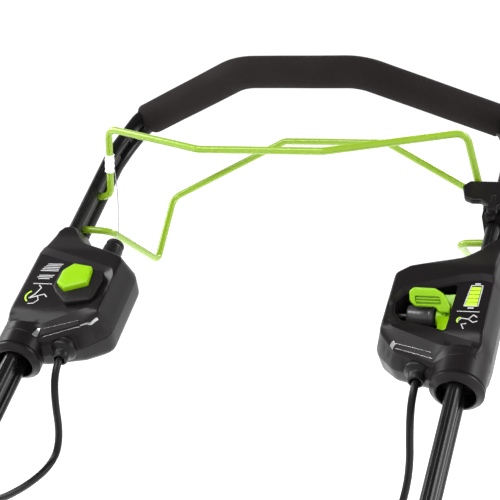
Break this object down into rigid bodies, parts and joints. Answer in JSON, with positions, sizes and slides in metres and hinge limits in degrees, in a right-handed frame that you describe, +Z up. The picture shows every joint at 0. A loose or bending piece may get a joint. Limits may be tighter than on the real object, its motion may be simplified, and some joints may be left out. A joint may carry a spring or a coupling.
{
  "type": "push lawn mower",
  "caption": "Battery self-propelled walk-behind lawn mower with a folding twin-tube handle, two control bails, control boxes, steel deck and adjustable wheels.",
  "frame": {"origin": "on the ground, under the centre of the whole machine's box", "axes": "+Z up, -Y the front of the mower, the operator at +Y, +X the side of the speed lever"},
  "size_m": [0.584, 1.5934, 1.0412],
  "materials": {
    "black_rail": "satin",
    "foam": "matte foam",
    "black_plastic": "satin moulded",
    "dark_panel": "matte",
    "lime_rod": "gloss",
    "lime_plastic": "gloss",
    "black_rubber": "satin",
    "clear_clip": "translucent",
    "steel": "brushed",
    "deck_paint": "powder coat",
    "tyre_rubber": "matte",
    "wheel_plastic": "satin"
  },
  "bodies": {
    "deck": {"deck_shell": "deck_paint", "front_brackets": "dark_panel", "side_door_lugs": "dark_panel", "front_fascia": "dark_panel", "motor_cowl": "black_plastic", "motor": "dark_panel", "battery_tray": "dark_panel", "battery_pack": "black_plastic", "handle_brackets": "deck_paint", "height_sector": "steel", "deck_screws": "steel"},
    "upper_handle": {"handle_frame": "black_rail", "foam_grip": "foam", "bail_bushes": "dark_panel", "left_box_front": "black_plastic", "left_box_back": "black_plastic", "left_panel": "dark_panel", "button_spring": "steel", "start_switch": "dark_panel", "cable_boot": "black_rubber", "bail_cable": "steel", "right_box_front": "black_plastic", "right_box_back": "black_plastic", "right_panel": "dark_panel", "lever_drum": "dark_panel", "paddle_clamp": "dark_panel", "cable_glands": "black_rubber", "left_cable": "black_rubber", "right_cable": "black_rubber", "cable_grommets": "black_rubber"},
    "blade_bail": {"blade_bail": "lime_rod", "bail_cable_clip": "clear_clip"},
    "drive_bail": {"drive_bail": "lime_rod"},
    "start_button": {"start_button": "lime_plastic"},
    "speed_lever": {"speed_lever": "lime_plastic"},
    "speed_paddle": {"speed_paddle": "black_plastic"},
    "lower_handle": {"lower_rails": "black_rail"},
    "cam_left": {"cam_lever_left": "lime_plastic"},
    "cam_right": {"cam_lever_right": "lime_plastic"},
    "blade_assembly": {"blade_spindle": "steel", "blade": "steel", "blade_bolt": "steel"},
    "battery_lid": {"battery_lid": "black_plastic"},
    "safety_key": {"safety_key": "lime_plastic"},
    "rear_door": {"rear_door": "black_plastic"},
    "side_door": {"side_door": "black_plastic"},
    "front_axle": {"front_axle": "steel"},
    "rear_axle": {"rear_axle": "steel", "drive_gearbox": "dark_panel", "drive_shaft": "steel", "height_lever": "dark_panel"},
    "height_link": {"height_link": "steel"},
    "front_left_wheel": {"front_left_tyre": "tyre_rubber", "front_left_rim": "wheel_plastic"},
    "front_right_wheel": {"front_right_tyre": "tyre_rubber", "front_right_rim": "wheel_plastic"},
    "rear_left_wheel": {"rear_left_tyre": "tyre_rubber", "rear_left_rim": "wheel_plastic"},
    "rear_right_wheel": {"rear_right_tyre": "tyre_rubber", "rear_right_rim": "wheel_plastic"}
  },
  "joints": [
    {"name": "handle_fold", "type": "hinge", "parent": "deck", "child": "lower_handle", "pos_m": [0, -0.17974, 0.255], "axis": [1, 0, 0], "range_deg": [0, 120]},
    {"name": "handle_slide", "type": "slide", "parent": "lower_handle", "child": "upper_handle", "axis": [0, -0.788, -0.6157], "range_m": [0, 0.15]},
    {"name": "cam_left_open", "type": "hinge", "parent": "lower_handle", "child": "cam_left", "pos_m": [-0.214, 0.1197, 0.48895], "axis": [0, -0.788, -0.6157], "range_deg": [0, 100]},
    {"name": "cam_right_open", "type": "hinge", "parent": "lower_handle", "child": "cam_right", "pos_m": [0.214, 0.1197, 0.48895], "axis": [0, 0.788, 0.6157], "range_deg": [0, 100]},
    {"name": "blade_bail_pull", "type": "hinge", "parent": "upper_handle", "child": "blade_bail", "pos_m": [0, 0.62009, 0.8799], "axis": [-1, 0, 0], "range_deg": [0, 70], "stiffness_Nm_per_rad": 1.2, "springref_deg": -20.05, "deforming": ["bail_cable"]},
    {"name": "drive_bail_push", "type": "hinge", "parent": "upper_handle", "child": "drive_bail", "pos_m": [0, 0.57675, 0.84603], "axis": [1, 0, 0], "range_deg": [0, 24], "stiffness_Nm_per_rad": 0.8, "springref_deg": -34.38},
    {"name": "start_button_press", "type": "slide", "parent": "upper_handle", "child": "start_button", "axis": [0, 0.6157, -0.788], "range_m": [0, 0.0035], "stiffness_N_per_m": 1500, "springref_m": -0.001, "deforming": ["button_spring"]},
    {"name": "speed_lever_turn", "type": "hinge", "parent": "upper_handle", "child": "speed_lever", "pos_m": [0.2, 0.47603, 0.78004], "axis": [1, 0, 0], "range_deg": [-8, 30]},
    {"name": "speed_paddle_tip", "type": "hinge", "parent": "upper_handle", "child": "speed_paddle", "pos_m": [0.235, 0.57264, 0.88216], "axis": [1, 0, 0], "range_deg": [-8, 12], "stiffness_Nm_per_rad": 0.3},
    {"name": "battery_lid_open", "type": "hinge", "parent": "deck", "child": "battery_lid", "pos_m": [0, -0.53574, 0.3045], "axis": [1, 0, 0], "range_deg": [0, 88]},
    {"name": "safety_key_pull", "type": "slide", "parent": "deck", "child": "safety_key", "axis": [0, 0, 1], "range_m": [0, 0.03]},
    {"name": "rear_door_open", "type": "hinge", "parent": "deck", "child": "rear_door", "pos_m": [0, -0.11074, 0.248], "axis": [1, 0, 0], "range_deg": [0, 75], "stiffness_Nm_per_rad": 0.4, "springref_deg": -22.92},
    {"name": "side_door_open", "type": "hinge", "parent": "deck", "child": "side_door", "pos_m": [-0.284, -0.44474, 0.132], "axis": [0, 1, 0], "range_deg": [0, 75], "stiffness_Nm_per_rad": 0.3, "springref_deg": -22.92},
    {"name": "blade_spin", "type": "hinge", "parent": "deck", "child": "blade_assembly", "pos_m": [0, -0.44474, 0.072], "axis": [0, 0, 1], "continuous": true},
    {"name": "cutting_height", "type": "hinge", "parent": "deck", "child": "rear_axle", "pos_m": [0, -0.17274, 0.125], "axis": [1, 0, 0], "range_deg": [-20, 20]},
    {"name": "front_axle_height", "type": "hinge", "parent": "deck", "child": "front_axle", "pos_m": [0, -0.74474, 0.1], "axis": [1, 0, 0], "range_deg": [-20, 20]},
    {"name": "height_link_pivot", "type": "hinge", "parent": "rear_axle", "child": "height_link", "pos_m": [0.198, -0.17274, 0.185], "axis": [1, 0, 0], "range_deg": [-20, 20]},
    {"name": "front_left_spin", "type": "hinge", "parent": "front_axle", "child": "front_left_wheel", "pos_m": [-0.27, -0.69674, 0.1], "axis": [1, 0, 0], "continuous": true},
    {"name": "front_right_spin", "type": "hinge", "parent": "front_axle", "child": "front_right_wheel", "pos_m": [0.27, -0.69674, 0.1], "axis": [1, 0, 0], "continuous": true},
    {"name": "rear_left_spin", "type": "hinge", "parent": "rear_axle", "child": "rear_left_wheel", "pos_m": [-0.27, -0.12474, 0.125], "axis": [1, 0, 0], "continuous": true},
    {"name": "rear_right_spin", "type": "hinge", "parent": "rear_axle", "child": "rear_right_wheel", "pos_m": [0.27, -0.12474, 0.125], "axis": [1, 0, 0], "continuous": true}
  ],
  "couplings": [
    {"joint": "front_axle_height", "follows": "cutting_height", "ratio": 1},
    {"joint": "height_link_pivot", "follows": "cutting_height", "ratio": -1}
  ]
}
